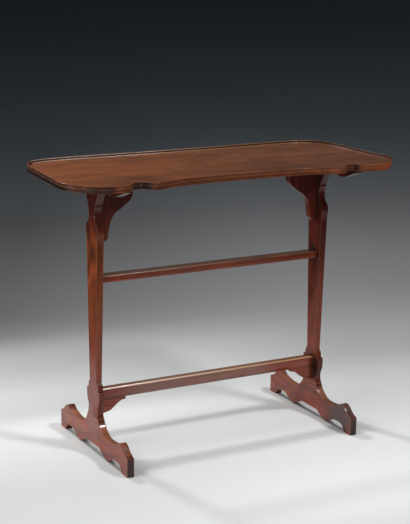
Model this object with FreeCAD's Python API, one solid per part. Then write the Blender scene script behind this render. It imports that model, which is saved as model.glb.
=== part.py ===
import FreeCAD, Part
import os

# Occasional table with a shaped, lipped top on two trestle ends.
# X runs along the top, Y from front to back and Z up, all in mm.
# The origin is on the floor, midway between the two trestles.
Vector = FreeCAD.Vector

# Overall sizes
table_height = 712.0
trestle_spacing = 640.0

# Tabletop: a thin board with a raised lip glued round its edge
top_half_length = 457.0
top_half_depth = 206.0
board_thickness = 9.5
lip_height = 7.5
lip_width = 5.0

# Trestle ends: foot, post and bearer are all sawn from boards of one thickness
trestle_thickness = 18.5
foot_half_length = 201.0
foot_height = 90.0
post_base_half_width = 31.5
post_shoulder_half_width = 36.5
post_knee_half_width = 34.5
post_cap_half_width = 44.0
post_low_half_thickness = 7.8
post_ankle_half_thickness = 7.4
bulb_height = 110.0
neck_height = 134.0
bearer_half_length = 184.0
bearer_depth = 26.5

# Rails between the trestles, and the haunches under the lower one
mid_rail_drop = 242.5
mid_rail_height = 18.0
mid_rail_width = 33.5
low_rail_bottom = 134.0
low_rail_height = 29.0
low_rail_width = 24.0
haunch_reach = 67.0
haunch_drop = 35.5

# Consoles, the curved brackets from the posts up to the tabletop
console_reach = 88.0
console_drop = 158.0
console_thickness = 18.0

# Joints between the pieces
tenon_clearance = 0.2
pin_clearance = 0.1
post_tenon_half_width = 14.0
post_tenon_half_thickness = 4.0
foot_tenon_length = 46.0
bearer_tenon_length = 15.0
rail_tenon_length = 10.0
rail_tenon_shoulder = 4.0
peg_radius = 3.0
peg_cover = 4.0
foot_peg_spread = 15.0
foot_peg_depth = 26.0
bearer_peg_spread = 14.0
dowel_radius = 3.0
dowel_depth = 8.0
dowel_board_depth = 5.5
console_dowel_places = (-52.0, -22.0)
haunch_dowel_places = (-44.0, -18.0)
screw_radius = 2.0
screw_head_radius = 4.0
screw_head_height = 2.6
screw_slot_width = 0.8
screw_slot_depth = 0.9
screw_head_recess = 8.0
screw_board_depth = 6.0
screw_place = 104.0

# Half outline of the top, from the middle of the front round to the middle of the back.
# Each point is a share of the half length and of the half depth, minus to the front.
top_start_shares = (0.0, -0.866)
front_hollow_shares = [(0.132, -0.867), (0.264, -0.876), (0.396, -0.909), (0.485, -0.955), (0.529, -0.988),
                       (0.560, -1.0), (0.582, -0.980), (0.597, -0.932), (0.612, -0.896), (0.635, -0.881),
                       (0.672, -0.876)]
front_lobe_shares = [(0.681, -0.932), (0.702, -0.983), (0.752, -1.0), (0.820, -0.993), (0.872, -0.960),
                     (0.903, -0.900), (0.922, -0.835)]
end_and_back_shares = [(0.943, -0.785), (0.970, -0.720), (0.991, -0.635), (1.0, -0.520), (0.998, -0.370),
                       (0.990, -0.200), (0.984, 0.0), (0.978, 0.240), (0.971, 0.460), (0.960, 0.640), (0.934, 0.800),
                       (0.880, 0.925), (0.800, 0.985), (0.680, 1.0), (0.441, 0.990), (0.220, 0.975), (0.0, 0.970)]
lip_back_corner_share = 0.870

# Half outline of a foot, from the middle of its underside out to the end and back up to the post.
# Each point is a share of the foot's half length and of its height.
foot_start_shares = (0.0, 0.228)
foot_flat_shares = [(0.202, 0.228)]
foot_bump_shares = [(0.236, 0.172), (0.310, 0.100), (0.404, 0.044), (0.468, 0.078), (0.562, 0.167), (0.606, 0.222)]
foot_bridge_shares = [(0.714, 0.222)]
foot_cove_shares = [(0.800, 0.167), (0.847, 0.0)]
foot_pad_shares = [(1.0, 0.0)]
foot_end_shares = [(1.0, 0.511)]
foot_hump_shares = [(0.940, 0.572), (0.887, 0.650), (0.847, 0.733), (0.788, 0.794), (0.739, 0.778)]
foot_step_shares = [(0.709, 0.720), (0.645, 0.667)]
foot_sweep_shares = [(0.542, 0.622), (0.440, 0.608), (0.345, 0.628), (0.276, 0.700), (0.217, 0.800), (0.177, 0.905)]

# Half outline of a post's lower bulb, downward from where the straight taper ends.
# Each point is a share of the shoulder's half width and of the bulb's height.
bulb_start_shares = (0.536, 1.0)
bulb_waist_shares = [(0.525, 0.827)]
bulb_upper_step_shares = [(0.649, 0.809)]
bulb_ring_shares = [(0.716, 0.745), (0.743, 0.664)]
bulb_lower_step_shares = [(0.960, 0.645)]
bulb_swell_shares = [(0.996, 0.590), (0.995, 0.500), (0.950, 0.400), (0.830, 0.310), (0.745, 0.225), (0.730, 0.150),
                     (0.758, 0.070)]

# Half outline of a post's neck, downward from the bearer to where the straight taper starts.
# Each point is a share of the knee's half width and of the neck's height.
neck_flare_shares = [(1.160, 0.935), (1.030, 0.860), (0.870, 0.785), (0.730, 0.725), (0.657, 0.687)]
neck_fillet_shares = [(0.657, 0.642)]
neck_step_shares = [(0.571, 0.627)]
neck_curve_shares = [(0.490, 0.565), (0.457, 0.490), (0.500, 0.410), (0.600, 0.358), (0.800, 0.306), (0.943, 0.261),
                     (1.0, 0.209), (0.980, 0.150), (0.920, 0.075), (0.877, 0.0)]
knee_height_share = 0.209

# Half outline of a bearer's lower edge, from the end inward, as shares of its half length and depth
bearer_end_shares = [(1.0, 0.230)]
bearer_edge_shares = [(0.930, 0.400), (0.840, 0.620), (0.730, 0.900), (0.640, 1.0), (0.550, 0.960), (0.460, 0.793)]
bearer_seat_share = 0.793

# Outline of a console, from its tip down to the post, as shares of its reach and its drop
console_tip_shares = [(1.0, 0.291)]
console_curve_shares = [(0.915, 0.386), (0.807, 0.437), (0.659, 0.500), (0.489, 0.560), (0.375, 0.633), (0.307, 0.715),
                        (0.273, 0.810), (0.244, 0.905)]
console_scroll_shares = [(0.214, 0.970), (0.148, 1.0)]

# Outline of a haunch, from its tip down to the post, as shares of its reach and its drop
haunch_tip_shares = [(1.0, 0.180)]
haunch_curve_shares = [(0.880, 0.200), (0.800, 0.250), (0.714, 0.355), (0.612, 0.493), (0.507, 0.654), (0.427, 0.785),
                       (0.320, 0.880), (0.150, 0.955), (0.0, 1.0)]

# Heights that follow from the sizes above
underside = table_height - lip_height - board_thickness
bearer_seat = underside - bearer_depth * bearer_seat_share
neck_bottom = bearer_seat - neck_height
knee = neck_bottom + neck_height * knee_height_share
bulb_top = foot_height + bulb_height
mid_rail_bottom = underside - mid_rail_drop - mid_rail_height
trestle_place = trestle_spacing / 2
half_thickness = trestle_thickness / 2


def along_xy(u, v):
    """A point of a plan outline."""
    return Vector(u, v, 0)


def along_yz(u, v):
    """A point of an outline seen from the end."""
    return Vector(0, u, v)


def along_xz(u, v):
    """A point of an outline seen from the front."""
    return Vector(u, 0, v)


def scaled(shares, width, height, base=0.0):
    """Turn shares into places: across by width, and up by height from base."""
    return [(u * width, base + v * height) for u, v in shares]


def chain(start, *stretches):
    """Runs of an outline, where each stretch starts at the end of the one before."""
    runs = []
    for stretch in stretches:
        runs.append([start] + stretch)
        start = stretch[-1]
    return runs


def flipped(run):
    """A run mirrored over the centre line and turned round."""
    return [(-u, v) for u, v in reversed(run)]


def over_centre(run, mirrored_run):
    """Join two runs that meet on the centre line into one, straight if both are straight."""
    if len(run) == 2:
        return [run[0], mirrored_run[1]]
    return run + mirrored_run[1:]


def whole(runs):
    """Close a half outline, whose first and last runs reach the centre line."""
    first = over_centre(flipped(runs[0]), runs[0])
    last = over_centre(runs[-1], flipped(runs[-1]))
    return [first] + runs[1:-1] + [last] + [flipped(run) for run in reversed(runs[1:-1])]


def edge(points):
    """Two points make a line, three an arc and more a smooth curve."""
    if len(points) == 2:
        return Part.makeLine(*points)
    if len(points) == 3:
        return Part.Arc(*points).toShape()
    curve = Part.BSplineCurve()
    curve.interpolate(points)
    return curve.toShape()


def face(runs, place):
    """A flat face inside a closed outline."""
    return Part.Face(Part.Wire([edge([place(*point) for point in run]) for run in runs]))


def slab(runs, place, thickness, start=None):
    """A flat piece of one thickness, centred on its plane, or raised from start in plan."""
    outline = face(runs, place)
    normal = place(1, 0).cross(place(0, 1))
    first = -thickness / 2 if start is None else start
    outline.translate(normal * first)
    return outline.extrude(normal * thickness)


def box(centre, half_x, half_y, bottom, top):
    """A block about a vertical centre line."""
    return Part.makeBox(2 * half_x, 2 * half_y, top - bottom, Vector(centre - half_x, -half_y, bottom))


def pin(radius, start, direction, length):
    """A round pin."""
    return Part.makeCylinder(radius, length, start, direction)


def other_side(shape):
    """The same piece on the left trestle."""
    return shape.mirror(Vector(0, 0, 0), Vector(1, 0, 0))


def mouth(tenon_size):
    """A mortise's size, from the size of the tenon that it takes."""
    return tenon_size + tenon_clearance


def top_outline():
    """The closed outline of the top in plan."""
    def at(shares):
        return scaled(shares, top_half_length, top_half_depth)

    stretches = (front_hollow_shares, front_lobe_shares, end_and_back_shares)
    return whole(chain(at([top_start_shares])[0], *[at(stretch) for stretch in stretches]))


def tabletop_board():
    """The thin board that is the whole surface of the table."""
    return slab(top_outline(), along_xy, board_thickness, underside)


def lip_ring():
    """The raised lip in one closed ring."""
    outer = face(top_outline(), along_xy)
    outer.translate(Vector(0, 0, underside + board_thickness))
    inner = outer.makeOffset2D(-lip_width).toNurbs()
    upward = Vector(0, 0, lip_height)
    return outer.extrude(upward).cut(inner.extrude(upward))


def lip_piece(ring, left, right, front, back):
    """The part of the lip between four upright planes."""
    block = Part.makeBox(right - left, back - front, table_height, Vector(left, front, 0))
    return ring.common(block)


def lips():
    """Six lip pieces that meet at the notches, the corner hollows and the back corners."""
    ring = lip_ring()
    edge_of_all = 2 * top_half_length
    notch = top_half_length * front_hollow_shares[-1][0]
    hollow = top_half_depth * front_lobe_shares[-1][1]
    corner = top_half_depth * lip_back_corner_share
    front_right = lip_piece(ring, notch, edge_of_all, -edge_of_all, hollow)
    right_end = lip_piece(ring, 0, edge_of_all, hollow, corner)
    return {
        "lip_front_centre": lip_piece(ring, -notch, notch, -edge_of_all, 0),
        "lip_front_right": front_right,
        "lip_front_left": other_side(front_right),
        "lip_right_end": right_end,
        "lip_left_end": other_side(right_end),
        "lip_back": lip_piece(ring, -edge_of_all, edge_of_all, corner, edge_of_all),
    }


def foot_blank():
    """A foot: two padded toes, a hump over each and a sweep up to the post."""
    def at(shares):
        return scaled(shares, foot_half_length, foot_height)

    sweep = at(foot_sweep_shares) + [(post_base_half_width, foot_height)]
    stretches = (foot_flat_shares, foot_bump_shares, foot_bridge_shares, foot_cove_shares, foot_pad_shares,
                 foot_end_shares, foot_hump_shares, foot_step_shares)
    runs = chain(at([foot_start_shares])[0], *[at(stretch) for stretch in stretches], sweep, [(0, foot_height)])
    return slab(whole(runs), along_yz, trestle_thickness)


def post_front_outline():
    """A post seen from the end: cap, neck, knee, straight taper, bulb and base."""
    def neck(shares):
        return scaled(shares, post_knee_half_width, neck_height, neck_bottom)

    def bulb(shares):
        return scaled(shares, post_shoulder_half_width, bulb_height, foot_height)

    start = (0, bearer_seat)
    necks = (neck_flare_shares, neck_fillet_shares, neck_step_shares, neck_curve_shares)
    bulbs = (bulb_waist_shares, bulb_upper_step_shares, bulb_ring_shares, bulb_lower_step_shares)
    swell = bulb(bulb_swell_shares) + [(post_base_half_width, foot_height)]
    runs = chain(start, [(post_cap_half_width, bearer_seat)], *[neck(stretch) for stretch in necks],
                 bulb([bulb_start_shares]), *[bulb(stretch) for stretch in bulbs], swell, [(0, foot_height)])
    return whole(runs)


def post_side_outline():
    """A post seen from the front: it thins downward from the knee and flares out again to the foot."""
    ankle = foot_height + post_base_half_width
    halfway = (foot_height + ankle) / 2
    flare = post_ankle_half_thickness + (half_thickness - post_ankle_half_thickness) / 3
    runs = chain((0, bearer_seat), [(half_thickness, bearer_seat)], [(half_thickness, knee)],
                 [(post_low_half_thickness, bulb_top)], [(post_ankle_half_thickness, ankle)],
                 [(flare, halfway), (half_thickness, foot_height)], [(0, foot_height)])
    return whole(runs)


def post_blank():
    """A post before its tenons and mortises."""
    broad = slab(post_front_outline(), along_yz, trestle_thickness)
    return broad.common(slab(post_side_outline(), along_xz, 2 * post_cap_half_width))


def bearer_blank():
    """A bearer: the cross piece that carries the top on its post."""
    runs = chain((0, underside), [(bearer_half_length, underside)],
                 [(bearer_half_length * bearer_end_shares[0][0], underside - bearer_depth * bearer_end_shares[0][1])],
                 scaled(bearer_edge_shares, bearer_half_length, -bearer_depth, underside), [(0, bearer_seat)])
    return slab(whole(runs), along_yz, trestle_thickness)


def tenon(clearance, tip):
    """A post's tenon, from inside the post to its tip, or the mortise that takes it with clearance."""
    middle = (foot_height + bearer_seat) / 2
    low, high = min(middle, tip), max(middle, tip)
    return box(0, post_tenon_half_thickness + clearance, post_tenon_half_width + clearance, low, high)


def rail_tenons(bottom, height, width, clearance, length):
    """The tenons of both ends of a rail, or the mortises that take them."""
    reach = trestle_place - half_thickness + length
    shoulder = rail_tenon_shoulder - clearance
    return box(0, reach, width / 2 - shoulder, bottom + shoulder, bottom + height - shoulder)


def foot_pegs():
    """Pegs through the foot and the post's tenon, driven from the inner face."""
    height = foot_height - foot_peg_depth
    length = trestle_thickness - peg_cover
    places = (-foot_peg_spread / 2, foot_peg_spread / 2)
    return [(Vector(trestle_place - half_thickness, y, height), Vector(1, 0, 0), length) for y in places]


def bearer_pegs():
    """Pegs through the bearer and the post's upper tenon, driven from the outer face."""
    height = (underside + bearer_seat) / 2
    length = trestle_thickness - peg_cover
    places = (-bearer_peg_spread / 2, bearer_peg_spread / 2)
    return [(Vector(trestle_place + half_thickness, y, height), Vector(-1, 0, 0), length) for y in places]


def console_dowels():
    """Dowels from the console up into the board, placed from the post's inner face."""
    inner = trestle_place - half_thickness
    return [(Vector(inner + x, 0, underside - dowel_depth), Vector(0, 0, 1), dowel_depth + dowel_board_depth)
            for x in console_dowel_places]


def haunch_dowels():
    """Dowels from the haunch up into the low rail, placed from the post's inner face."""
    inner = trestle_place - half_thickness
    return [(Vector(inner + x, 0, low_rail_bottom - dowel_depth), Vector(0, 0, 1), 2 * dowel_depth)
            for x in haunch_dowel_places]


def pins(places, radius):
    """All pins of one kind on the right trestle."""
    return [pin(radius, *place) for place in places]


def screw(y):
    """A slotted countersunk screw, from a recess under the bearer up into the board."""
    head = underside - bearer_depth + screw_head_recess
    shank_top = underside + screw_board_depth
    shank = pin(screw_radius, Vector(0, y, head), Vector(0, 0, 1), shank_top - head - screw_radius)
    tip = Part.makeCone(screw_radius, 0, screw_radius, Vector(0, y, shank_top - screw_radius))
    cone = Part.makeCone(screw_head_radius, screw_radius, screw_head_height, Vector(0, y, head))
    slot = Part.makeBox(2 * screw_head_radius, screw_slot_width, screw_slot_depth,
                        Vector(-screw_head_radius, y - screw_slot_width / 2, head))
    return cone.fuse(shank).fuse(tip).removeSplitter().cut(slot)


def screw_hole(y):
    """The recess, the countersink and the clearance hole for a screw through the bearer."""
    head = underside - bearer_depth + screw_head_recess
    wide = screw_head_radius + pin_clearance
    narrow = screw_radius + pin_clearance
    recess = pin(wide, Vector(0, y, head - screw_head_recess), Vector(0, 0, 1), screw_head_recess)
    cone = Part.makeCone(wide, narrow, screw_head_height, Vector(0, y, head))
    hole = pin(narrow, Vector(0, y, head), Vector(0, 0, 1), underside + screw_board_depth - head)
    return recess.fuse(cone).fuse(hole)


def on_trestle(shape):
    """Move a piece drawn over the origin to the right trestle."""
    shape.translate(Vector(trestle_place, 0, 0))
    return shape


def console_blank():
    """A console: a tapering ogee from the top down to a small scroll on the post."""
    inner = trestle_place - half_thickness

    def at(shares):
        return [(inner - u * console_reach, underside - v * console_drop) for u, v in shares]

    start = (trestle_place, underside)
    foot = (trestle_place, underside - console_drop)
    runs = chain(start, [(inner - console_reach, underside)], at(console_tip_shares), at(console_curve_shares),
                 at(console_scroll_shares), [foot], [start])
    return slab(runs, along_xz, console_thickness)


def haunch_blank():
    """A haunch: the ogee bracket under the low rail against the post."""
    inner = trestle_place - half_thickness

    def at(shares):
        return [(inner - u * haunch_reach, low_rail_bottom - v * haunch_drop) for u, v in shares]

    start = (trestle_place, low_rail_bottom)
    foot = (trestle_place, low_rail_bottom - haunch_drop)
    runs = chain(start, [(inner - haunch_reach, low_rail_bottom)], at(haunch_tip_shares), at(haunch_curve_shares),
                 [foot], [start])
    return slab(runs, along_xz, low_rail_width)


def rail(bottom, height, width, blanks):
    """A rail cut to fit between the posts, with a tenon at each end."""
    bar = box(0, trestle_place, width / 2, bottom, bottom + height)
    return bar.cut(blanks).fuse(rail_tenons(bottom, height, width, 0, rail_tenon_length)).removeSplitter()


def both_sides(name, shape):
    """A piece of the right trestle and its twin on the left."""
    return {name + "_right": shape, name + "_left": other_side(shape)}


def group(shapes):
    """Like pieces on both trestles as one node of separate solids."""
    return Part.makeCompound(shapes + [other_side(shape) for shape in shapes])


def build():
    """All pieces of the table by name."""
    loose = pin_clearance
    blank = on_trestle(post_blank())
    posts = Part.makeCompound([blank, other_side(blank)])
    mid_sizes = (mid_rail_bottom, mid_rail_height, mid_rail_width)
    low_sizes = (low_rail_bottom, low_rail_height, low_rail_width)
    mortises = [rail_tenons(*sizes, tenon_clearance, mouth(rail_tenon_length)) for sizes in (mid_sizes, low_sizes)]
    foot_tip = foot_height - foot_tenon_length
    bearer_tip = bearer_seat + bearer_tenon_length
    foot_tenon = on_trestle(tenon(0, foot_tip))
    bearer_tenon = on_trestle(tenon(0, bearer_tip))
    foot_mortise = on_trestle(tenon(tenon_clearance, foot_tip - tenon_clearance))
    bearer_mortise = on_trestle(tenon(tenon_clearance, bearer_tip + tenon_clearance))
    holes = {name: Part.makeCompound(pins(places, radius + loose)) for name, places, radius in (
        ("foot", foot_pegs(), peg_radius), ("bearer", bearer_pegs(), peg_radius),
        ("console", console_dowels(), dowel_radius), ("haunch", haunch_dowels(), dowel_radius))}
    screws = [on_trestle(screw(y)) for y in (-screw_place, screw_place)]
    screw_holes = Part.makeCompound([on_trestle(screw_hole(y)) for y in (-screw_place, screw_place)])

    foot = on_trestle(foot_blank())
    bearer = on_trestle(bearer_blank())
    post = blank.fuse([foot_tenon, bearer_tenon]).removeSplitter()
    post = post.cut(mortises).cut([holes["foot"], holes["bearer"]])
    board_holes = [holes["console"], other_side(holes["console"]), screw_holes, other_side(screw_holes)]

    pieces = {"tabletop_board": tabletop_board().cut(board_holes)}
    pieces.update(lips())
    pieces.update(both_sides("bearer", bearer.cut([bearer_mortise, holes["bearer"], screw_holes])))
    pieces.update(both_sides("post", post))
    pieces.update(both_sides("foot", foot.cut([foot_mortise, holes["foot"]])))
    pieces.update(both_sides("console", console_blank().cut([blank, bearer, holes["console"]])))
    pieces.update(both_sides("haunch", haunch_blank().cut([blank, holes["haunch"]])))
    pieces["mid_rail"] = rail(*mid_sizes, posts)
    pieces["low_rail"] = rail(*low_sizes, posts).cut([holes["haunch"], other_side(holes["haunch"])])
    pieces["foot_pegs"] = group(pins(foot_pegs(), peg_radius))
    pieces["bearer_pegs"] = group(pins(bearer_pegs(), peg_radius))
    pieces["console_dowels"] = group(pins(console_dowels(), dowel_radius))
    pieces["haunch_dowels"] = group(pins(haunch_dowels(), dowel_radius))
    pieces["bearer_screws"] = group(screws)
    return pieces


os.makedirs("parts", exist_ok=True)
for name, shape in build().items():
    shape.exportStep("parts/" + name + ".step")
    print(name, len(shape.Solids), "solid", shape.isValid(), round(shape.Volume))
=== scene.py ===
import math
import bmesh
import bpy
from mathutils import Matrix, Vector


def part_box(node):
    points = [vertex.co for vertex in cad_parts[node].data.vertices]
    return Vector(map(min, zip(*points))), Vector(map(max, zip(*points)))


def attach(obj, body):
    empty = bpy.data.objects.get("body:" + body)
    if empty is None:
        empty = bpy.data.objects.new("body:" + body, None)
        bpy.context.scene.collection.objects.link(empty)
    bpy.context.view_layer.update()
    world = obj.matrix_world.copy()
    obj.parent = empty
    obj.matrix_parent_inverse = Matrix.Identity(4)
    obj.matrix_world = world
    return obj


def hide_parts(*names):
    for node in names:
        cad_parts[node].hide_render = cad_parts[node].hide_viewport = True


# Looks of the mahogany occasional table, in metres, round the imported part.
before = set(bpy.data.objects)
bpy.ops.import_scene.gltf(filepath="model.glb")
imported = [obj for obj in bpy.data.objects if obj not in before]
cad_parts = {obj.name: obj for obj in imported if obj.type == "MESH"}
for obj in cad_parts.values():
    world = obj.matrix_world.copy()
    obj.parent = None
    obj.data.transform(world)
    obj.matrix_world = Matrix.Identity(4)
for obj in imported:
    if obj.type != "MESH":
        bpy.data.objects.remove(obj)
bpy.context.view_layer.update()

# Camera
camera_place = (-1.7053, -3.0869, 1.3201)
camera_turn = math.radians(28.691)
camera_tilt = math.radians(13.826)
camera_roll = math.radians(0.820)
camera_focal_pixels = 1430.2
camera_sees_to = 200
picture_long_side = 524
sensor_size = 36.0

# Studio lights: place, the spot that each points at, width, height and power
lights = {
    "overhead_softbox": ((0.0, 0.80, 3.2), (0, 0, 0.3), 1.5, 1.2, 18),
    "low_left_softbox": ((-3.75, -0.22, 0.40), (0, 0, 0.42), 2.4, 0.5, 84),
    "high_left_softbox": ((-3.00, -0.30, 2.90), (0, 0, 0.40), 2.0, 2.0, 60),
    "back_light": ((-0.80, 2.85, 2.88), (0, 0, 0.2), 0.35, 0.35, 60),
    "front_fill": ((1.30, -1.95, 3.35), (0, 0, 0.2), 0.5, 0.5, 68),
    "front_softbox": ((-0.60, -4.20, 0.40), (0, 0, 0.42), 1.8, 0.5, 44),
}

# Dim light from all round: strength at the horizon and overhead
glow_strengths = (0.02, 0.22)
glow_colour = (0.95, 0.98, 1.0, 1)

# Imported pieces: how far the arrises of each finish are eased, and what counts as an arris or a flat
eased = {"top": 0.0005, "frame": 0.0009, "pin": 0.0}
ease_angle = math.radians(28)
ease_steps = 3
flat_angle = math.radians(0.4)
join_distance = 0.00001

# Rails: how round the upper and the lower arrises are, and how far the faces swell
rail_arrises = {"mid_rail": (0.0028, 0.0012), "low_rail": (0.0044, 0.0014)}
rail_swell = 0.0004
arris_steps = 5

# Lip moulding: how far in from the outline, and how high over the board
moulding = ((0.0, 0.0), (0.0, 0.0058), (0.0003, 0.0067), (0.0009, 0.0073), (0.0018, 0.0075), (0.0028, 0.0073),
            (0.0035, 0.0067), (0.0039, 0.0058), (0.0041, 0.0045), (0.0043, 0.0031), (0.0046, 0.0019),
            (0.0050, 0.0010), (0.0056, 0.0004), (0.0062, 0.0001), (0.0062, 0.0))

# Moulding at the corners: widest turn of a fan, slack before it folds, and how close points are joined
fan_step = math.radians(14)
fold_slack = 0.00004
ring_join_distance = 0.000005

# Lip strips at the ends: how far from the middle they may start
end_strips_from = 0.35

# Upper face of the board: least upward tilt and most drop of its parts
least_upward = 0.9
most_drop = 0.0001

# Built pieces: over which angle an edge looks sharp
sharp_angle = math.radians(40)

# Colours of the wood, linear: darkest and lightest streaks, faded by light and not. In the frame the unfaded
# deep red is painted shade under the top and on narrow faces low down, and patches on the toes; in the top it
# colours the upright edges.
finishes = {
    "top": {"dark": (0.074, 0.024, 0.0105, 1), "light": (0.152, 0.051, 0.0190, 1),
            "deep dark": (0.040, 0.009, 0.004, 1), "deep light": (0.150, 0.042, 0.015, 1)},
    "frame": {"dark": (0.060, 0.0105, 0.0052, 1), "light": (0.268, 0.041, 0.0160, 1),
              "deep dark": (0.022, 0.0020, 0.0018, 1), "deep light": (0.074, 0.0065, 0.0050, 1)},
    "pin": {"dark": (0.070, 0.018, 0.008, 1), "light": (0.200, 0.056, 0.022, 1),
            "deep dark": (0.040, 0.010, 0.006, 1), "deep light": (0.110, 0.030, 0.016, 1)},
}

# How the warmer parts differ: orange toward the left end of the top, a painted sheen of the light from the
# left, and golden in the frame
top_left_sheen = (1.58, 1.25, 0.60, 1)
frame_warmth = (0.86, 1.16, 0.66, 1)

# Share of gold in the faded wood: strong in the posts, weak in the rest
usual_gold = 0.25
gold_shares = {"post_left": 1.0, "post_right": 0.9}

# Painted shade of the top: from which height the frame is painted deep red, and where it is all deep red
usual_shade = 0.55
shade_heights = {"post_right": 0.10}
full_shade_height = 0.64

# Upward faces of the frame, lighter tan: partly rubbed by feet and hands, partly painted light from above
rubbed_and_lit_tan = (0.42, 0.23, 0.12, 1)
rubbed_and_lit_share = 0.30

# Narrow faces of the posts low down, darkened as painted shade, and tops of the toes, darkened in patches:
# share of deep red
narrow_painted_shade = {"post_left": 0.62, "post_right": 0.35}
toe_dark = {"foot_left": 0.90, "foot_right": 0.70}

# Old dust in the middle of the rails, which also paints the grey sheen of the floor's reflection on them
dust_and_sheen = (0.22, 0.19, 0.16, 1)
dust_and_sheen_shares = {"low_rail": 0.30, "mid_rail": 0.08}

# Upright edge of the top: mottled gold, darker at the left tip
edge_gold = (1.90, 1.70, 1.20, 1)
edge_gold_share = 0.55
edge_dark = (0.50, 0.48, 0.50, 1)

# Upper face of the top: shades of the cloudy spots, a faint ring mark and a dim strip along the front
spot_shades = (1.05, 0.74)
ring_mark = (-0.30, -0.12, 0.7045)
ring_mark_size = (0.10, 0.05)
ring_mark_shade = 0.80
front_strip = (0.02, -0.12)
front_strip_shade = 0.82
# Painted shade on the upper faces of the back and end lips: share of the colour left
lip_painted_shade = {"lip_right_end": 0.42, "lip_back": 0.60, "lip_left_end": 0.85}

# Dirt near the floor; painted shadow in the notches of the top's edge on the left and on the right; painted
# shade in inner corners
grime = (0.035, 0.024, 0.022, 1)
grime_share = 0.40
painted_shade_red = (0.017, 0.005, 0.003, 1)
notch_shadow_shares = (0.95, 0.55)
corner_shade = (0.010, 0.0030, 0.0020, 1)
corner_shade_share = 0.85
corner_reach = 0.055
corner_samples = 8

# Dark patches: centre and radius, which are grey with grime, and how strong they are. The one on the right
# foot is a stain; the one on the left front lobe of the top is painted shade, and the one on the right post
# beside the low rail is painted shadow.
stain_and_shade_patches = {"tabletop_board": ((-0.385, -0.190, 0.700), 0.045),
          "lip_front_left": ((-0.385, -0.190, 0.700), 0.045),
          "foot_right": ((0.315, -0.150, 0.035), 0.062),
          "post_right": ((0.300, -0.016, 0.132), 0.043)}
no_patch = ((0, 0, -1), 0.01)
grey_stains = ("foot_right",)
stain_and_shade_share = 0.85

# Rubbed arrises: how wide, how patchy, their colour, and how much some pieces are rubbed. On the rails and
# the feet the larger shares also paint the highlights along their arrises.
wear_width = 0.003
wear_patchiness = 0.7
wear_samples = 6
rubbed_and_highlight_pale = (0.50, 0.29, 0.16, 1)
usual_wear = 0.30
rubbed_and_highlit_pieces = {"low_rail": 0.95, "mid_rail": 0.60, "foot_right": 0.45, "foot_left": 0.40}

# Painted highlights along the upper arrises, from golden on the right to pale on the left
highlit_arrises = {"low_rail": 0.90, "mid_rail": 0.20, "lip_back": 0.32}
highlight_gold = (0.43, 0.25, 0.125, 1)
highlight_pale = (0.88, 0.68, 0.56, 1)

# Polish: roughness and share where it is cleanest and most clouded, what is left of it, and how blurred it is
polish_roughness = (0.32, 0.50)
polish_shares = (0.95, 0.65)
polish_left = {"tabletop_board": 0.35, "lip_right_end": 0.10, "lip_back": 0.60, "lip_left_end": 0.25,
               "lip_front_left": 0.12, "lip_front_right": 0.35, "lip_front_centre": 0.35, "post_left": 0.75,
               "post_right": 0.55, "foot_left": 0.75, "foot_right": 0.75, "haunch_right": 0.70,
               "haunch_left": 0.80, "console_left": 0.85, "console_right": 0.80}
usual_blur = 0.10
blurs = {"low_rail": 0.06, "mid_rail": 0.07, "tabletop_board": 0.28, "foot_left": 0.17, "foot_right": 0.20,
         "haunch_left": 0.08}
cloud_share = 0.8
pore_roughness = 0.2
edge_polish = 0.15
edge_roughness = 0.70
wood_specular = 0.12

# Relief of the wood
fibre_relief = 0.12
pore_relief = -0.25
ripple_relief = 0.9
relief_strength = 0.35
relief_depth = 0.0006

# Growth rings: their width, how deep the heart lies, how far they wander, and their share in the figure
ring_width = 0.006
heart_depth = 0.09
wander_width = 0.075
ripple_width = 0.006
ring_share = 0.62
ring_noise = {"Scale": 1.0, "Detail": 4.0, "Roughness": 0.62}

# Fibres and pores: how dark and light the fibres are, and how dark and full the pores are
fibre_shades = (0.80, 1.16)
pore_shade = 0.30
pore_share = 0.7
bunch_share = 0.35
end_cut_shade = 0.16

# Streaky noise: how fine along the grain and across it, detail and roughness
streak_noises = {
    "wander": (2.2, 5.0, 2.0, 0.5),
    "ripple": (9.0, 30.0, 2.0, 0.5),
    "cloud": (4.0, 22.0, 3.0, 0.5),
    "fibre": (14.0, 520.0, 3.0, 0.6),
    "pore": (150.0, 1500.0, 1.0, 0.5),
    "bunch": (18.0, 160.0, 1.0, 0.5),
    "scratches": (30.0, 700.0, 1.0, 0.5),
}

# Cloudy noise: how fine, detail and roughness
cloud_noises = {
    "age_and_shade": (16.0, 3.0, 0.6),
    "tone": (5.0, 2.0, 0.5),
    "wear": (55.0, 3.0, 0.5),
    "polish": (14.0, 4.0, 0.6),
    "polish ripple": (9.0, 1.0, 0.5),
    "edge gold": (26.0, 3.0, 0.6),
    "spots": (8.0, 4.0, 0.6),
    "rust": (900.0, 4.0, 0.6),
}

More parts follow.
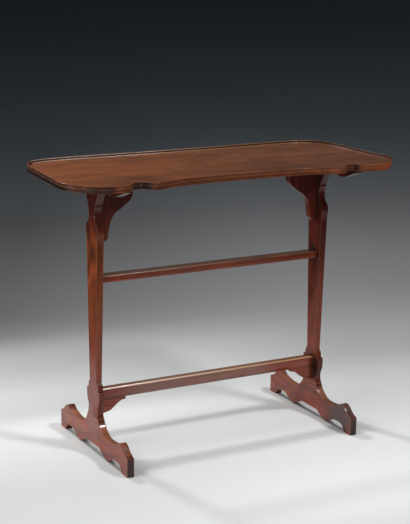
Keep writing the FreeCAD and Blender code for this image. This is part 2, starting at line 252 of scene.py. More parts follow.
# Masks: the value at which each starts and the value at which it is full
spans = {
    "figure": (0.34, 0.66),
    "fibre": (0.30, 0.70),
    "pores": (0.80, 0.90),
    "edge": (0.995, 0.80),
    "wear patches": (0.35, 0.70),
    "polish": (0.35, 0.65),
    "upward": (0.3, 0.8),
    "arris": (0.18, 0.38),
    "narrow": (0.5, 0.8),
    "narrow height": (0.20, 0.15),
    "toe slope": (0.2, 0.5),
    "toe reach": (0.132, 0.150),
    "toe patches": (0.60, 0.44),
    "end cut": (0.70, 0.97),
    "floor height": (0.115, 0.045),
    "floor patches": (0.46, 0.60),
    "tone": (0.25, 0.50),
    "tone height": (0.22, 0.38),
    "left end": (0.20, -0.40),
    "left tip": (-0.37, -0.425),
    "right end": (0.31, 0.37),
    "right end front": (-0.09, -0.12),
    "corners": (0.88, 0.50),
    "corner height": (0.09, 0.13),
    "notch inner side": (0.262, 0.270),
    "notch outer side": (0.3085, 0.3075),
    "notch depth": (-0.165, -0.175),
    "notch left to right": (0.0, 0.1),
    "stain_and_shade": (1.35, 0.95),
    "edge gold": (0.46, 0.62),
    "spots": (0.48, 0.68),
    "dust and sheen from the right": (0.0, 0.10),
    "dust and sheen from the left": (0.80, 0.66),
    "rust": (0.45, 0.70),
    "foot strip width": (0.010, 0.003),
    "foot strip length": (0.212, 0.200),
}

# How far the clouds of age lift heights and spread the dark patches of stain and painted shade
cloud_lift = 0.05
patch_spread = 0.9

# Screws: dull steel and rust
steel_grey = (0.34, 0.31, 0.28, 1)
steel_rust = (0.13, 0.065, 0.035, 1)
steel_roughness = (0.38, 0.80)
rust_strength = 0.4
rust_depth = 0.0001

# Which way the grain runs: its direction, and the turn that lays it along X
grain_ways = {"x": (1, 0, 0), "y": (0, 1, 0), "z": (0, 0, 1)}
grain_turns = {"x": (0, 0, 0), "y": (0, 0, -math.pi / 2), "z": (0, math.pi / 2, 0)}

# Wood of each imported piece: grain axis, finish and the part of the log
packed_woods = {
    "tabletop_board": ("x", "top", (0.0, 0.03, 0.0)),
    "bearer_left": ("y", "frame", (0.5, 0.1, 0.0)),
    "bearer_right": ("y", "frame", (1.5, 0.2, 0.0)),
    "post_left": ("z", "frame", (2.5, 0.02, 0.3)),
    "post_right": ("z", "frame", (3.5, 0.04, -0.3)),
    "foot_left": ("y", "frame", (4.5, 0.3, 0.0)),
    "foot_right": ("y", "frame", (5.5, -0.3, 0.0)),
    "console_left": ("z", "frame", (6.5, 0.1, 0.2)),
    "console_right": ("z", "frame", (7.5, 0.1, -0.2)),
    "haunch_left": ("x", "frame", (8.5, 0.1, 0.1)),
    "haunch_right": ("x", "frame", (9.5, 0.1, 0.2)),
    "foot_pegs": ("x", "pin", (0.0, 0.0, 0.0)),
    "bearer_pegs": ("x", "pin", (1.0, 0.0, 0.0)),
    "console_dowels": ("z", "pin", (2.0, 0.0, 0.0)),
    "haunch_dowels": ("z", "pin", (3.0, 0.0, 0.0)),
}

# Wood of each piece that is built here to stand for a packed one
built_woods = {
    "lip_back": ("x", "top", (0.3, 0.1, 0.1)),
    "lip_front_centre": ("x", "top", (1.3, 0.2, 0.1)),
    "lip_front_left": ("x", "top", (2.3, 0.3, 0.1)),
    "lip_front_right": ("x", "top", (3.3, 0.4, 0.1)),
    "lip_left_end": ("y", "top", (4.3, 0.5, 0.1)),
    "lip_right_end": ("y", "top", (5.3, 0.6, 0.1)),
    "mid_rail": ("x", "frame", (10.5, 0.06, -0.4)),
    "low_rail": ("x", "frame", (11.5, 0.05, -0.1)),
}

# Floor: half its size, and how it scatters light
floor_reach = 40.0
floor_roughness = 0.85
floor_specular = 0.1

# How the floor fades into the dark, front to back, a painted fall-off of the studio light: distance behind
# a line in front, and how pale the floor is there on the right and on the left
fade_line = (0.087, 0.996, 0)
fade_line_ahead = 1.6
side_line = (1, -0.45, 0)
side_limits = (-0.65, 0.50)
painted_falloff_stops = ((0.25, 0.05, 0.05), (0.45, 0.10, 0.08), (0.70, 0.35, 0.30), (0.90, 0.60, 0.47),
              (1.40, 0.63, 0.47), (1.80, 0.50, 0.60), (2.05, 0.33, 0.63), (2.30, 0.288, 0.44),
              (2.45, 0.258, 0.29), (2.60, 0.235, 0.155), (2.80, 0.220, 0.105), (3.20, 0.200, 0.095),
              (4.20, 0.137, 0.058), (6.20, 0.117, 0.082), (7.50, 0.112, 0.100), (10.0, 0.090, 0.082),
              (13.0, 0.060, 0.059), (18.0, 0.045, 0.042))

# Cool tint toward the back: where it starts and ends, and how much there: red lost and blue gained
cool_red_loss = (3.8, 7.5, 0.022, 0.24)
cool_blue_gain = (2.4, 6.0, -0.012, 0.12)

# Left edge of the pale paper, and what lies past it
paper_line = (1, -0.38, 0)
paper_left_edge = (-0.72, -1.02)
past_the_paper = (0.03, 0.03, 0.03, 1)

# Painted pool of light round the table, lifting the floor where the table shades it: centre, from how far to
# how near, and how much paler
painted_light_centre = (0.0, -0.20, 0)
painted_light_reach = (1.85, 0.20)
painted_light_gain = 1.36

# Painted shadow strips under the feet: how far they lie from the middle, and how dim they are
foot_line = 0.32
foot_shade = 0.55


class Bench:
    """Short ways to place nodes in one tree."""

    def __init__(self, tree):
        self.tree = tree

    def feed(self, sockets, values):
        """Give sockets, by name or number, a value each or the output that feeds it."""
        for label, value in values.items():
            if isinstance(value, bpy.types.NodeSocket):
                self.tree.links.new(value, sockets[label])
            else:
                sockets[label].default_value = value

    def node(self, kind, values=None, **settings):
        made = self.tree.nodes.new(kind)
        for setting, value in settings.items():
            setattr(made, setting, value)
        self.feed(made.inputs, values or {})
        return made

    def group(self, tree, values=None):
        return self.node("ShaderNodeGroup", values, node_tree=tree).outputs

    def calc(self, operation, first, second=0.0, third=0.0, clamp=False):
        return self.node("ShaderNodeMath", {0: first, 1: second, 2: third},
                         operation=operation, use_clamp=clamp).outputs[0]

    def times(self, first, second):
        return self.calc("MULTIPLY", first, second)

    def size(self, value):
        """A value without its sign."""
        return self.calc("ABSOLUTE", value)

    def here(self):
        """The place on the piece."""
        return self.node("ShaderNodeTexCoord").outputs["Object"]

    def normal(self):
        return self.node("ShaderNodeNewGeometry").outputs["Normal"]

    def split(self, vector):
        return self.node("ShaderNodeSeparateXYZ", {0: vector}).outputs

    def dot(self, first, second):
        made = self.node("ShaderNodeVectorMath", {0: first, 1: second}, operation="DOT_PRODUCT")
        return made.outputs["Value"]

    def away(self, place, spot):
        """How far a place is from a spot."""
        made = self.node("ShaderNodeVectorMath", {0: place, 1: spot}, operation="DISTANCE")
        return made.outputs["Value"]

    def noise(self, place, scale, detail, roughness):
        return self.node("ShaderNodeTexNoise", {"Vector": place, "Scale": scale, "Detail": detail,
                                                "Roughness": roughness}).outputs["Fac"]

    def clouds(self, place, name):
        return self.noise(place, *cloud_noises[name])

    def streaks(self, place, name):
        """Noise drawn out along X."""
        along, across, detail, roughness = streak_noises[name]
        drawn_out = self.node("ShaderNodeMapping", {"Vector": place, "Scale": (along, across, across)})
        return self.noise(drawn_out.outputs[0], 1.0, detail, roughness)

    def ramp(self, value, low, high, to_low=0.0, to_high=1.0):
        return self.node("ShaderNodeMapRange", {"Value": value, "From Min": low, "From Max": high,
                                                "To Min": to_low, "To Max": to_high}).outputs["Result"]

    def fade(self, share, at_none, at_full):
        """A value that goes from one figure to another as a share grows from 0 to 1."""
        return self.ramp(share, 0.0, 1.0, at_none, at_full)

    def span(self, value, name):
        """A mask by its name."""
        return self.ramp(value, *spans[name])

    def mix(self, factor, first, second, blend="MIX"):
        return self.node("ShaderNodeMix", {0: factor, 6: first, 7: second},
                         data_type="RGBA", blend_type=blend).outputs[2]

    def tint(self, colour, other):
        """One colour times another."""
        return self.mix(1.0, colour, other, "MULTIPLY")

    def shade(self, colour, value):
        """A colour times a value."""
        grey = self.node("ShaderNodeCombineColor", {0: value, 1: value, 2: value}).outputs[0]
        return self.tint(colour, grey)

    def bump(self, height, strength, depth):
        made = self.node("ShaderNodeBump", {"Height": height, "Strength": strength, "Distance": depth})
        return made.outputs[0]


def new_group(name, inputs, outputs):
    """An empty shader node group. Inputs are given by name and default, where None means a vector."""
    tree = bpy.data.node_groups.new(name, "ShaderNodeTree")
    for label, default in inputs.items():
        kind = "NodeSocketVector" if default is None else "NodeSocketFloat"
        socket = tree.interface.new_socket(label, in_out="INPUT", socket_type=kind)
        if default is not None:
            socket.default_value = default
    for label in outputs:
        tree.interface.new_socket(label, in_out="OUTPUT", socket_type="NodeSocketFloat")
    return Bench(tree), tree.nodes.new("NodeGroupInput").outputs, tree.nodes.new("NodeGroupOutput").inputs


def new_material(name):
    """A material, a bench for its nodes and the sockets of its shader."""
    material = bpy.data.materials.new(name)
    material.use_nodes = True
    tree = material.node_tree
    return material, Bench(tree), tree.nodes["Principled BSDF"].inputs


def grain_group():
    """Growth rings, fibres and pores of a board whose grain runs along X."""
    inputs = {"Vector": None, "Ring Width": ring_width, "Heart Depth": heart_depth}
    bench, given, out = new_group("wood_grain", inputs, ("Figure", "Fibre", "Pores"))
    place = given["Vector"]
    parts = bench.split(place)
    depth = bench.calc("ADD", parts["Z"], given["Heart Depth"])
    squares = bench.calc("ADD", bench.times(parts["Y"], parts["Y"]), bench.times(depth, depth))
    radius = bench.calc("SQRT", squares)
    for name, width in (("wander", wander_width), ("ripple", ripple_width)):
        radius = bench.calc("MULTIPLY_ADD", bench.streaks(place, name), width, radius)
    ring_place = bench.calc("DIVIDE", radius, given["Ring Width"])
    rings = bench.node("ShaderNodeTexNoise", {"W": ring_place, **ring_noise}, noise_dimensions="1D")
    figure = bench.calc("ADD", bench.times(rings.outputs["Fac"], ring_share),
                        bench.times(bench.streaks(place, "cloud"), 1 - ring_share))
    bunches = bench.streaks(place, "bunch")
    pores = bench.calc("MULTIPLY_ADD", bunches, bunch_share, bench.streaks(place, "pore"))
    bench.feed(out, {"Figure": bench.span(figure, "figure"), "Fibre": bench.streaks(place, "fibre"),
                     "Pores": bench.span(pores, "pores")})
    return bench.tree


def wear_and_highlight_group():
    """Where the arrises are rubbed, which on the rails and feet also paints their highlights: 0 on a flat
    face and up to 1 along an edge.
    """
    inputs = {"Width": wear_width, "Patchiness": wear_patchiness}
    bench, given, out = new_group("rubbed_and_highlit_edges", inputs, ("Mask",))
    rounded = bench.node("ShaderNodeBevel", {"Radius": given["Width"]}, samples=wear_samples).outputs[0]
    edge = bench.span(bench.dot(rounded, bench.normal()), "edge")
    patches = bench.span(bench.clouds(bench.here(), "wear"), "wear patches")
    held = bench.times(patches, given["Patchiness"])
    left = bench.calc("SUBTRACT", 1.0, given["Patchiness"])
    bench.feed(out, {"Mask": bench.calc("MULTIPLY", edge, bench.calc("ADD", held, left), clamp=True)})
    return bench.tree


def polish_group():
    """Old hand polish: cloudy sheen, faint ripples and fine scratches."""
    inputs = {"Low": polish_roughness[0], "High": polish_roughness[1]}
    bench, given, out = new_group("hand_polish", inputs, ("Roughness", "Ripple"))
    place = bench.here()
    clouds = bench.times(bench.clouds(place, "polish"), cloud_share)
    scratches = bench.times(bench.streaks(place, "scratches"), 1 - cloud_share)
    spread = bench.span(bench.calc("ADD", clouds, scratches), "polish")
    bench.feed(out, {"Roughness": bench.fade(spread, given["Low"], given["High"]),
                     "Ripple": bench.clouds(place, "polish ripple")})
    return bench.tree


def facing_masks(bench, parts, cloud, grain_way):
    """Masks by the way a face looks: up, slanting, narrow and low, on a toe, or across the grain."""
    normal = bench.normal()
    looks = bench.split(normal)
    sideways = bench.size(looks["Y"])
    low_narrow = bench.times(bench.span(sideways, "narrow"), bench.span(parts["Z"], "narrow height"))
    toe_top = bench.times(bench.span(looks["Z"], "toe slope"),
                          bench.span(bench.size(parts["Y"]), "toe reach"))
    return {"Upward": bench.span(looks["Z"], "upward"),
            "Arris": bench.span(bench.times(sideways, looks["Z"]), "arris"),
            "Low Narrow Shade": low_narrow,
            "Toe Top": bench.times(toe_top, bench.span(cloud, "toe patches")),
            "End Cut": bench.span(bench.size(bench.dot(normal, grain_way)), "end cut")}


def height_masks(bench, place, parts, cloud, shade_height):
    """Masks by height: the painted shade of the top, dirty near the floor, and golden over the ankles."""
    height = bench.calc("MULTIPLY_ADD", cloud, cloud_lift, parts["Z"])
    shaded = bench.calc("DIVIDE", bench.calc("SUBTRACT", height, shade_height),
                        bench.calc("SUBTRACT", full_shade_height, shade_height), clamp=True)
    near = bench.times(bench.span(height, "floor height"), bench.span(cloud, "floor patches"))
    golden = bench.times(bench.span(bench.clouds(place, "tone"), "tone"), bench.span(height, "tone height"))
    return {"Painted Shade Under Top": shaded, "Near Floor": near, "Tone": golden}


def side_masks(bench, parts):
    """Masks by place along the table: its left end and tip, and the front of its right end."""
    front = bench.span(parts["Y"], "right end front")
    return {"Left End": bench.span(parts["X"], "left end"),
            "Left Tip": bench.span(parts["X"], "left tip"),
            "Right End": bench.times(bench.span(parts["X"], "right end"), front)}


def dirt_and_shade_masks(bench, place, parts, cloud, patch_centre, patch_size):
    """Masks of painted shade in inner corners, of painted shadow in the notches of the top, and of one dark
    patch, a stain on the right foot and painted shade elsewhere.
    """
    # Painted shade in inner corners, from how enclosed each spot is
    open_air = bench.node("ShaderNodeAmbientOcclusion", {"Distance": corner_reach}, samples=corner_samples)
    corners = bench.times(bench.span(open_air.outputs["AO"], "corners"),
                          bench.span(parts["Z"], "corner height"))
    # Painted shadow in the notches of the top's front edge, stronger on the left
    aside = bench.size(parts["X"])
    notches = bench.times(bench.span(aside, "notch inner side"), bench.span(aside, "notch outer side"))
    notches = bench.times(notches, bench.ramp(parts["X"], *spans["notch left to right"], *notch_shadow_shares))
    notches = bench.times(notches, bench.span(parts["Y"], "notch depth"))
    # One dark patch: a stain on the right foot, painted shade on the left front lobe and on the right post
    spread = bench.calc("DIVIDE", bench.away(place, patch_centre), patch_size)
    stain_and_shade = bench.span(bench.calc("MULTIPLY_ADD", cloud, patch_spread, spread), "stain_and_shade")
    return {"Corner Shade": corners, "Notch Shadow": notches, "Dark Patch Mask": stain_and_shade}


def age_and_shade_group():
    """What years of light and use do to a piece, and where light and shade are painted on it, as masks."""
    inputs = {"Grain": None, "Shade Height": usual_shade, "Patch Centre": None, "Patch Size": no_patch[1]}
    outputs = ("Upward", "Arris", "Low Narrow Shade", "Toe Top", "End Cut", "Painted Shade Under Top", "Near Floor", "Tone",
               "Left End", "Left Tip", "Right End", "Corner Shade", "Notch Shadow", "Dark Patch Mask")
    bench, given, out = new_group("age_and_shade", inputs, outputs)
    place = bench.here()
    parts = bench.split(place)
    cloud = bench.clouds(place, "age_and_shade")
    bench.feed(out, facing_masks(bench, parts, cloud, given["Grain"]))
    bench.feed(out, height_masks(bench, place, parts, cloud, given["Shade Height"]))
    bench.feed(out, side_masks(bench, parts))
    bench.feed(out, dirt_and_shade_masks(bench, place, parts, cloud, given["Patch Centre"], given["Patch Size"]))
    return bench.tree


grain = grain_group()
rubbed_and_highlit_edges = wear_and_highlight_group()
hand_polish = polish_group()
age_and_shade = age_and_shade_group()


def edge_colour(bench, place, age_and_shade_marks, deep):
    """Upright edge of the top: mottled gold, dark at the left tip and nearly black with painted shadow in the
    notches.
    """
    patches = bench.ramp(bench.clouds(place, "edge gold"), *spans["edge gold"], 0.0, edge_gold_share)
    golden = bench.calc("MAXIMUM", patches, age_and_shade_marks["Right End"])
    side = bench.mix(golden, deep, bench.tint(deep, edge_gold))
    side = bench.mix(age_and_shade_marks["Left Tip"], side, bench.tint(side, edge_dark))
    # Painted shadow: the notches go nearly black
    return bench.mix(age_and_shade_marks["Notch Shadow"], side, painted_shade_red)


def top_shade(bench, node, place):
    """How pale the upper face is: cloudy spots, the ring mark, the dim strip along the front and painted
    shade on the back and end lips.
    """
    pale = bench.ramp(bench.clouds(place, "spots"), *spans["spots"], *spot_shades)
    pale = bench.times(pale, bench.ramp(bench.away(place, ring_mark), *ring_mark_size, 1.0, ring_mark_shade))
    pale = bench.times(pale, bench.ramp(bench.split(place)["Y"], *front_strip, 1.0, front_strip_shade))
    # Painted shade on the back and end lips
    return bench.times(pale, lip_painted_shade.get(node, 1.0))


def top_colour(bench, node, place, age_and_shade_marks, faded, deep):
    """The board and the lip: more orange toward the left end, a painted sheen of the light from the left."""
    # Painted sheen of the light from the left: more orange toward the left end
    faded = bench.mix(age_and_shade_marks["Left End"], faded, bench.tint(faded, top_left_sheen))
    above = bench.shade(faded, top_shade(bench, node, place))
    return bench.mix(age_and_shade_marks["Upward"], edge_colour(bench, place, age_and_shade_marks, deep), above)


def frame_colour(bench, node, age_and_shade_marks, faded, deep):
    """The rest: golden in the light, lighter tan on top, partly rubbed and partly painted light, dusty on the
    rails with a painted grey sheen, and deep red as painted shade under the top and on narrow faces low down,
    and in patches on the toes.
    """
    gold = bench.times(age_and_shade_marks["Tone"], gold_shares.get(node, usual_gold))
    faded = bench.mix(gold, faded, bench.tint(faded, frame_warmth))
    # Lighter tan on upward faces: partly rubbed, partly painted light from above
    faded = bench.mix(bench.times(age_and_shade_marks["Upward"], rubbed_and_lit_share), faded, rubbed_and_lit_tan)
    # Dust, which also paints the grey sheen of the floor's reflection on the rails
    if node in dust_and_sheen_shares:
        dust_and_sheen_mask = bench.times(bench.span(age_and_shade_marks["Left End"], "dust and sheen from the right"),
                             bench.span(age_and_shade_marks["Left End"], "dust and sheen from the left"))
        faded = bench.mix(bench.times(dust_and_sheen_mask, dust_and_sheen_shares[node]), faded, dust_and_sheen)
    # Painted shade of the top: deep red from the shade height up
    colour = bench.mix(age_and_shade_marks["Painted Shade Under Top"], faded, deep)
    # Painted shade on the narrow faces of the posts low down, and deep red patches on the toe tops
    for mask, shares in (("Low Narrow Shade", narrow_painted_shade), ("Toe Top", toe_dark)):
        if node in shares:
            colour = bench.mix(bench.times(age_and_shade_marks[mask], shares[node]), colour, deep)
    return colour


def grained(bench, colour, wood, age_and_shade_marks, dark):
    """A colour with fibres, pores and dark end grain."""
    colour = bench.shade(colour, bench.ramp(wood["Fibre"], *spans["fibre"], *fibre_shades))
    pore_colour = (*(channel * pore_shade for channel in dark[:3]), 1)
    colour = bench.mix(bench.times(wood["Pores"], pore_share), colour, pore_colour)
    return bench.shade(colour, bench.fade(age_and_shade_marks["End Cut"], 1.0, end_cut_shade))


def dirtied_and_shaded(bench, node, finish, colour, age_and_shade_marks):
    """A colour with dirt near the floor, painted shade in corners and the dark patch, a stain on the right
    foot and painted shade elsewhere, which spares the top's upper face.
    """
    colour = bench.mix(bench.times(age_and_shade_marks["Near Floor"], grime_share), colour, grime)
    shows = stain_and_shade_share
    if finish == "top":
        shows = bench.calc("SUBTRACT", stain_and_shade_share, age_and_shade_marks["Upward"], clamp=True)
    # The dark patch: a stain on the right foot, painted shade elsewhere
    stain_and_shade = bench.times(age_and_shade_marks["Dark Patch Mask"], shows)
    colour = bench.mix(stain_and_shade, colour, grime if node in grey_stains else painted_shade_red)
    # Painted shade in inner corners
    return bench.mix(bench.times(age_and_shade_marks["Corner Shade"], corner_shade_share), colour, corner_shade)


def with_wear_and_highlights(bench, node, colour, age_and_shade_marks):
    """A colour with the arrises rubbed, and with painted highlights along the upper arrises of some pieces.
    """
    # Rubbed arrises, which on the rails and feet also paint their highlights
    rubbed_and_highlit = bench.times(bench.group(rubbed_and_highlit_edges)["Mask"], rubbed_and_highlit_pieces.get(node, usual_wear))
    colour = bench.mix(rubbed_and_highlit, colour, rubbed_and_highlight_pale)
    # Painted highlights along the upper arrises
    if node in highlit_arrises:
        highlight = bench.mix(age_and_shade_marks["Left End"], highlight_gold, highlight_pale)
        colour = bench.mix(bench.times(age_and_shade_marks["Arris"], highlit_arrises[node]), colour, highlight)
    return colour


def shine(bench, node, finish, wood, age_and_shade_marks, polish):
    """Roughness and share of polish. The pores and the upright edge of the top are duller."""
    rough = bench.calc("MULTIPLY_ADD", wood["Pores"], pore_roughness, polish["Roughness"], clamp=True)
    left = [share * polish_left.get(node, 1.0) for share in polish_shares]
    coat = bench.ramp(polish["Roughness"], *polish_roughness, *left)
    if finish == "top":
        rough = bench.calc("MAXIMUM", rough, bench.fade(age_and_shade_marks["Upward"], edge_roughness, 0.0))
        coat = bench.times(coat, bench.fade(age_and_shade_marks["Upward"], edge_polish, 1.0))
    return rough, coat


def relief(bench, wood, polish):
    """Fine relief of the fibres, the pores and the ripples in the polish."""
    ripples = bench.times(polish["Ripple"], ripple_relief)
    height = bench.calc("MULTIPLY_ADD", wood["Fibre"], fibre_relief, ripples)
    height = bench.calc("MULTIPLY_ADD", wood["Pores"], pore_relief, height)
    return bench.bump(height, relief_strength, relief_depth)


def age_and_shade_of(bench, node, grain_axis):
    """The masks of age and of painted light and shade for one piece."""
    patch_centre, patch_size = stain_and_shade_patches.get(node, no_patch)
    return bench.group(age_and_shade, {"Grain": grain_ways[grain_axis], "Patch Centre": patch_centre, "Patch Size": patch_size,
                             "Shade Height": shade_heights.get(node, usual_shade)})


def mahogany(node, grain_axis, finish, shift):
    """Polished mahogany for one piece, with its grain along one axis. Shift picks another part of the log."""
    colours = finishes[finish]
    material, bench, shader = new_material("mahogany_" + node)
    place = bench.here()
    laid = bench.node("ShaderNodeMapping", {"Vector": place, "Rotation": grain_turns[grain_axis],
                                            "Location": shift}).outputs[0]
    wood = bench.group(grain, {"Vector": laid})
    age_and_shade_marks = age_and_shade_of(bench, node, grain_axis)
    polish = bench.group(hand_polish)
    faded = bench.mix(wood["Figure"], colours["dark"], colours["light"])
    deep = bench.mix(wood["Figure"], colours["deep dark"], colours["deep light"])
    if finish == "top":
        colour = top_colour(bench, node, place, age_and_shade_marks, faded, deep)
    else:
        colour = frame_colour(bench, node, age_and_shade_marks, faded, deep)
    colour = grained(bench, colour, wood, age_and_shade_marks, colours["dark"])
    colour = dirtied_and_shaded(bench, node, finish, colour, age_and_shade_marks)
    rough, coat = shine(bench, node, finish, wood, age_and_shade_marks, polish)
    bench.feed(shader, {"Base Color": with_wear_and_highlights(bench, node, colour, age_and_shade_marks), "Roughness": rough,
                        "Specular IOR Level": wood_specular, "Coat Weight": coat,
                        "Coat Roughness": blurs.get(node, usual_blur), "Normal": relief(bench, wood, polish)})
    return material


def old_steel():
    """Dull steel of the old slotted screws."""
    material, bench, shader = new_material("screw_steel_dull")
    rust = bench.span(bench.clouds(bench.here(), "rust"), "rust")
    bench.feed(shader, {"Base Color": bench.mix(rust, steel_grey, steel_rust),
                        "Metallic": bench.calc("SUBTRACT", 1.0, rust),
                        "Roughness": bench.fade(rust, *steel_roughness),
                        "Normal": bench.bump(rust, rust_strength, rust_depth)})
    return material


def ease(piece, width):
    """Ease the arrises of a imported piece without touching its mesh."""
    weld = piece.modifiers.new("join_corners", "WELD")
    weld.merge_threshold = join_distance
    flat = piece.modifiers.new("clear_flats", "DECIMATE")
    flat.decimate_type = "DISSOLVE"
    flat.angle_limit = flat_angle
    if width:
        bevel = piece.modifiers.new("eased_arris", "BEVEL")
        bevel.width = width
        bevel.segments = ease_steps
        bevel.limit_method = "ANGLE"
        bevel.angle_limit = ease_angle
        bevel.harden_normals = True
        bevel.miter_outer = "MITER_ARC"


for node, wood in packed_woods.items():
    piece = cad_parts[node]
    piece.material_slots[0].material = mahogany(node, *wood)
    ease(piece, eased[wood[1]])
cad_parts["bearer_screws"].material_slots[0].material = old_steel()


def board_outline():
    """The edge of the board's upper face: its height, and its points in order, anticlockwise from above."""
    made = bmesh.new()
    made.from_mesh(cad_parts["tabletop_board"].data)
    bmesh.ops.remove_doubles(made, verts=made.verts, dist=join_distance)
    base = max(corner.co.z for corner in made.verts)
    upper = {face for face in made.faces
             if face.normal.z > least_upward and face.calc_center_median().z > base - most_drop}
    follows = {}
    for face in upper:
        for loop in face.loops:
            if loop.link_loop_radial_next.face not in upper:
                follows[loop.vert] = loop.link_loop_next.vert
    corner = next(iter(follows))
    points = []
    for _ in follows:
        points.append(corner.co.xy.copy())
        corner = follows[corner]
    made.free()
    return base, points


def inward_ways(points):
    """For each point of the outline, the ways in from it. A corner that points in gets a fan of ways."""
    ways = []
    for index, point in enumerate(points):
        arrive = (point - points[index - 1]).normalized()
        leave = (points[(index + 1) % len(points)] - point).normalized()
        turn = math.atan2(arrive.x * leave.y - arrive.y * leave.x, arrive.dot(leave))
        left = Vector((-arrive.y, arrive.x))
        if turn < -fan_step:
            steps = math.ceil(-turn / fan_step)
            ways.extend((point, Matrix.Rotation(turn * step / steps, 2) @ left) for step in range(steps + 1))
        else:
            ways.append((point, Matrix.Rotation(turn / 2, 2) @ left / math.cos(turn / 2)))
    return ways


def edge_distance(spot, points):
    """How far a spot is from the outline."""
    nearest = math.inf
    for index, end in enumerate(points):
        start = points[index - 1]
        along = end - start
        share = min(1.0, max(0.0, (spot - start).dot(along) / along.length_squared))
        nearest = min(nearest, (start + along * share - spot).length)
    return nearest


def moulded_section(ring, points, base, point, way):
    """The corners of the moulding at one point of the outline. It stops where it would fold over itself."""
    section = []
    reach, rise = moulding[0]
    for inset, height in moulding:
        if edge_distance(point + way * inset, points) > inset - fold_slack:
            reach, rise = inset, height
        level = height if inset == reach else min(rise, height)
        section.append(ring.verts.new((*(point + way * reach), base + level)))
    return section


def moulded_ring(points, base):
    """The lip moulding swept right round the outline, as one closed ring."""
    ring = bmesh.new()
    sections = [moulded_section(ring, points, base, point, way) for point, way in inward_ways(points)]
    for index, section in enumerate(sections):
        before = sections[index - 1]
        for step in range(len(moulding)):
            ring.faces.new((before[step - 1], before[step], section[step], section[step - 1]))
    bmesh.ops.remove_doubles(ring, verts=ring.verts, dist=ring_join_distance)
    bmesh.ops.recalc_face_normals(ring, faces=ring.faces)
    return ring


def dressed(shape, node):
    """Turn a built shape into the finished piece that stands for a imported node."""
    mesh = bpy.data.meshes.new(node + "_finished")
    shape.to_mesh(mesh)
    shape.free()
    mesh.shade_smooth()
    mesh.set_sharp_from_angle(angle=sharp_angle)
    made = bpy.data.objects.new(node + "_finished", mesh)
    bpy.context.scene.collection.objects.link(made)
    axis, finish, shift = built_woods[node]
    mesh.materials.append(mahogany(node, axis, finish, shift))
    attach(made, "root")
    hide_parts(node)


def cut_strip(ring, name, cuts):
    """One strip of the lip: the part of the ring on the near side of every cut."""
    strip = ring.copy()
    for way, limit in cuts:
        everything = strip.verts[:] + strip.edges[:] + strip.faces[:]
        bmesh.ops.bisect_plane(strip, geom=everything, plane_co=Vector(way) * limit, plane_no=way,
                               clear_outer=True)
        bmesh.ops.holes_fill(strip, edges=[edge for edge in strip.edges if edge.is_boundary])
    bmesh.ops.recalc_face_normals(strip, faces=strip.faces)
    dressed(strip, name)


def lip():
    """The raised lip in its six strips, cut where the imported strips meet."""
    base, points = board_outline()
    ring = moulded_ring(points, base)
    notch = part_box("lip_front_centre")[1][0]
    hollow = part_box("lip_front_right")[1][1]
    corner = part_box("lip_back")[0][1]
    leftward, rightward, frontward, backward = (-1, 0, 0), (1, 0, 0), (0, -1, 0), (0, 1, 0)
    cut_strip(ring, "lip_front_centre", ((leftward, notch), (rightward, notch), (backward, 0)))
    cut_strip(ring, "lip_back", ((frontward, -corner),))
    for side, toward_middle in (("left", rightward), ("right", leftward)):
        cut_strip(ring, "lip_front_" + side, ((toward_middle, -notch), (backward, hollow)))
        cut_strip(ring, f"lip_{side}_end", ((toward_middle, -end_strips_from), (frontward, -hollow),
                                            (backward, corner)))
    ring.free()


def rail_profile(name):
    """The outline of a rail across its length: rounded arrises with a faint swell between them."""
    low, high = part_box(name)
    middle = Vector(((low[1] + high[1]) / 2, (low[2] + high[2]) / 2))
    half = Vector((high[1] - middle.x, high[2] - middle.y))
    upper, lower = rail_arrises[name]
    quarters = ((1, 1, upper), (-1, 1, upper), (-1, -1, lower), (1, -1, lower))
    profile = []
    for quarter, (across, up, radius) in enumerate(quarters):
        centre = Vector((across * (half.x - rail_swell - radius), up * (half.y - rail_swell - radius)))
        for step in range(arris_steps + 1):
            turn = math.pi / 2 * (quarter + step / arris_steps)
            profile.append(middle + centre + Vector((math.cos(turn), math.sin(turn))) * radius)
        profile.append(middle + Vector(((0, up * half.y), (across * half.x, 0))[quarter % 2]))
    return profile


def rail(name):
    """A rail from post to post."""
    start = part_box("post_left")[1][0]
    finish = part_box("post_right")[0][0]
    profile = rail_profile(name)
    bar = bmesh.new()
    first, last = ([bar.verts.new((place, *spot)) for spot in profile] for place in (start, finish))
    for index in range(len(profile)):
        bar.faces.new((first[index - 1], first[index], last[index], last[index - 1]))
    bar.faces.new(first)
    bar.faces.new(last)
    bmesh.ops.recalc_face_normals(bar, faces=bar.faces)
    dressed(bar, name)


lip()
for rail_name in rail_arrises:
    rail(rail_name)


def between(distance, start, end, at_start, at_end):
    """A value that changes evenly from one distance to another."""
    share = min(1.0, max(0.0, (distance - start) / (end - start)))
    return at_start + (at_end - at_start) * share


def cooled(pale, distance):
    """A grey that turns a little blue toward the back."""
    red_loss = between(distance, *cool_red_loss)
    blue_gain = between(distance, *cool_blue_gain)
    return (pale * (1 - red_loss), pale, pale * (1 + blue_gain), 1)


def paper_greys(bench, share, side, stop_shares):
    """The greys along one side of the paper, front to back."""
    greys = bench.node("ShaderNodeValToRGB", {"Fac": share})
    stops = greys.color_ramp.elements
    for index, (at, pale) in enumerate(zip(stop_shares, painted_falloff_stops)):
        stop = stops[index] if index < 2 else stops.new(at)
        stop.position = at
        stop.color = cooled(pale[side], pale[0])
    return greys.outputs[0]


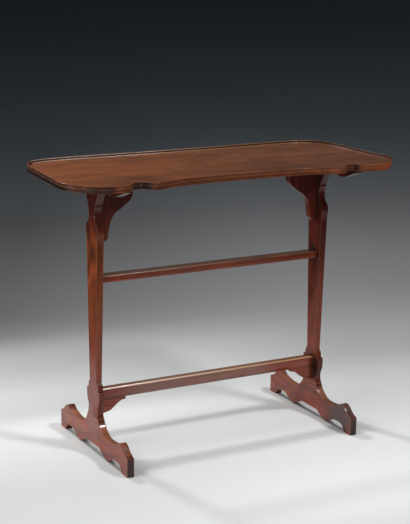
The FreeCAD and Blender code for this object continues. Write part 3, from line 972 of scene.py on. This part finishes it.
def paper_with_painted_falloff(bench, place):
    """The paper as it fades to the back, with the fall-off of the light painted in, in even steps of the
    distance's logarithm.
    """
    logs = [math.log10(stop[0]) for stop in painted_falloff_stops]
    stop_shares = [(log - logs[0]) / (logs[-1] - logs[0]) for log in logs]
    behind = bench.calc("ADD", bench.dot(place, fade_line), fade_line_ahead)
    distance = bench.calc("MAXIMUM", behind, painted_falloff_stops[0][0])
    share = bench.ramp(bench.calc("LOGARITHM", distance, 10.0), logs[0], logs[-1])
    right, left = (paper_greys(bench, share, side, stop_shares) for side in (1, 2))
    return bench.mix(bench.ramp(bench.dot(place, side_line), *side_limits), left, right)


def foot_shadow_strips(bench, place):
    """Painted shadow: how pale the paper is right under the feet."""
    parts = bench.split(place)
    off_line = bench.size(bench.calc("SUBTRACT", bench.size(parts["X"]), foot_line))
    under = bench.times(bench.span(off_line, "foot strip width"),
                        bench.span(bench.size(parts["Y"]), "foot strip length"))
    return bench.fade(under, 1.0, foot_shade)


def studio_paper():
    """Pale paper that falls off into the dark away from the table: painted fall-off of the light, a painted
    pool of light round the table and painted shadow under the feet.
    """
    material, bench, shader = new_material("studio_paper")
    place = bench.here()
    # Painted fall-off of the studio light
    paper = paper_with_painted_falloff(bench, place)
    # Painted pool of light round the table
    paper = bench.shade(paper, bench.ramp(bench.away(place, painted_light_centre), *painted_light_reach, 1.0, painted_light_gain))
    # Painted shadow under the feet
    paper = bench.shade(paper, foot_shadow_strips(bench, place))
    past = bench.ramp(bench.dot(place, paper_line), *paper_left_edge)
    bench.feed(shader, {"Base Color": bench.mix(past, paper, past_the_paper), "Roughness": floor_roughness,
                        "Specular IOR Level": floor_specular})
    return material


def floor():
    """The studio floor."""
    mesh = bpy.data.meshes.new("studio_floor")
    quarters = ((-1, -1), (1, -1), (1, 1), (-1, 1))
    corners = [(across * floor_reach, back * floor_reach, 0) for across, back in quarters]
    mesh.from_pydata(corners, [], [(0, 1, 2, 3)])
    made = bpy.data.objects.new("studio_floor", mesh)
    bpy.context.scene.collection.objects.link(made)
    mesh.materials.append(studio_paper())


def soft_light(name, place, aim, width, height, power):
    """A rectangular studio light that points at a spot."""
    data = bpy.data.lights.new(name, "AREA")
    data.shape = "RECTANGLE"
    data.size = width
    data.size_y = height
    data.energy = power
    made = bpy.data.objects.new(name, data)
    made.location = place
    made.rotation_euler = (Vector(aim) - Vector(place)).to_track_quat("-Z", "Y").to_euler()
    bpy.context.scene.collection.objects.link(made)


def studio_glow():
    """Dim light from all round, darkest at the horizon."""
    world = bpy.data.worlds.new("studio_glow")
    bpy.context.scene.world = world
    world.use_nodes = True
    bench = Bench(world.node_tree)
    direction = bench.node("ShaderNodeTexCoord").outputs["Generated"]
    strength = bench.fade(bench.split(direction)["Z"], *glow_strengths)
    bench.feed(world.node_tree.nodes["Background"].inputs, {"Color": glow_colour, "Strength": strength})


def set_camera():
    """The photograph's camera, as solved from the table's own corners."""
    data = bpy.data.cameras.new("camera")
    data.sensor_width = sensor_size
    data.lens = camera_focal_pixels * sensor_size / picture_long_side
    data.clip_end = camera_sees_to
    made = bpy.data.objects.new("camera", data)
    turn = (Matrix.Rotation(-camera_turn, 4, "Z") @ Matrix.Rotation(math.pi / 2 - camera_tilt, 4, "X")
            @ Matrix.Rotation(camera_roll, 4, "Z"))
    made.matrix_world = Matrix.Translation(camera_place) @ turn
    bpy.context.scene.collection.objects.link(made)
    bpy.context.scene.camera = made


floor()
studio_glow()
for light, settings in lights.items():
    soft_light(light, *settings)
set_camera()
bpy.context.scene.view_settings.view_transform = "Standard"
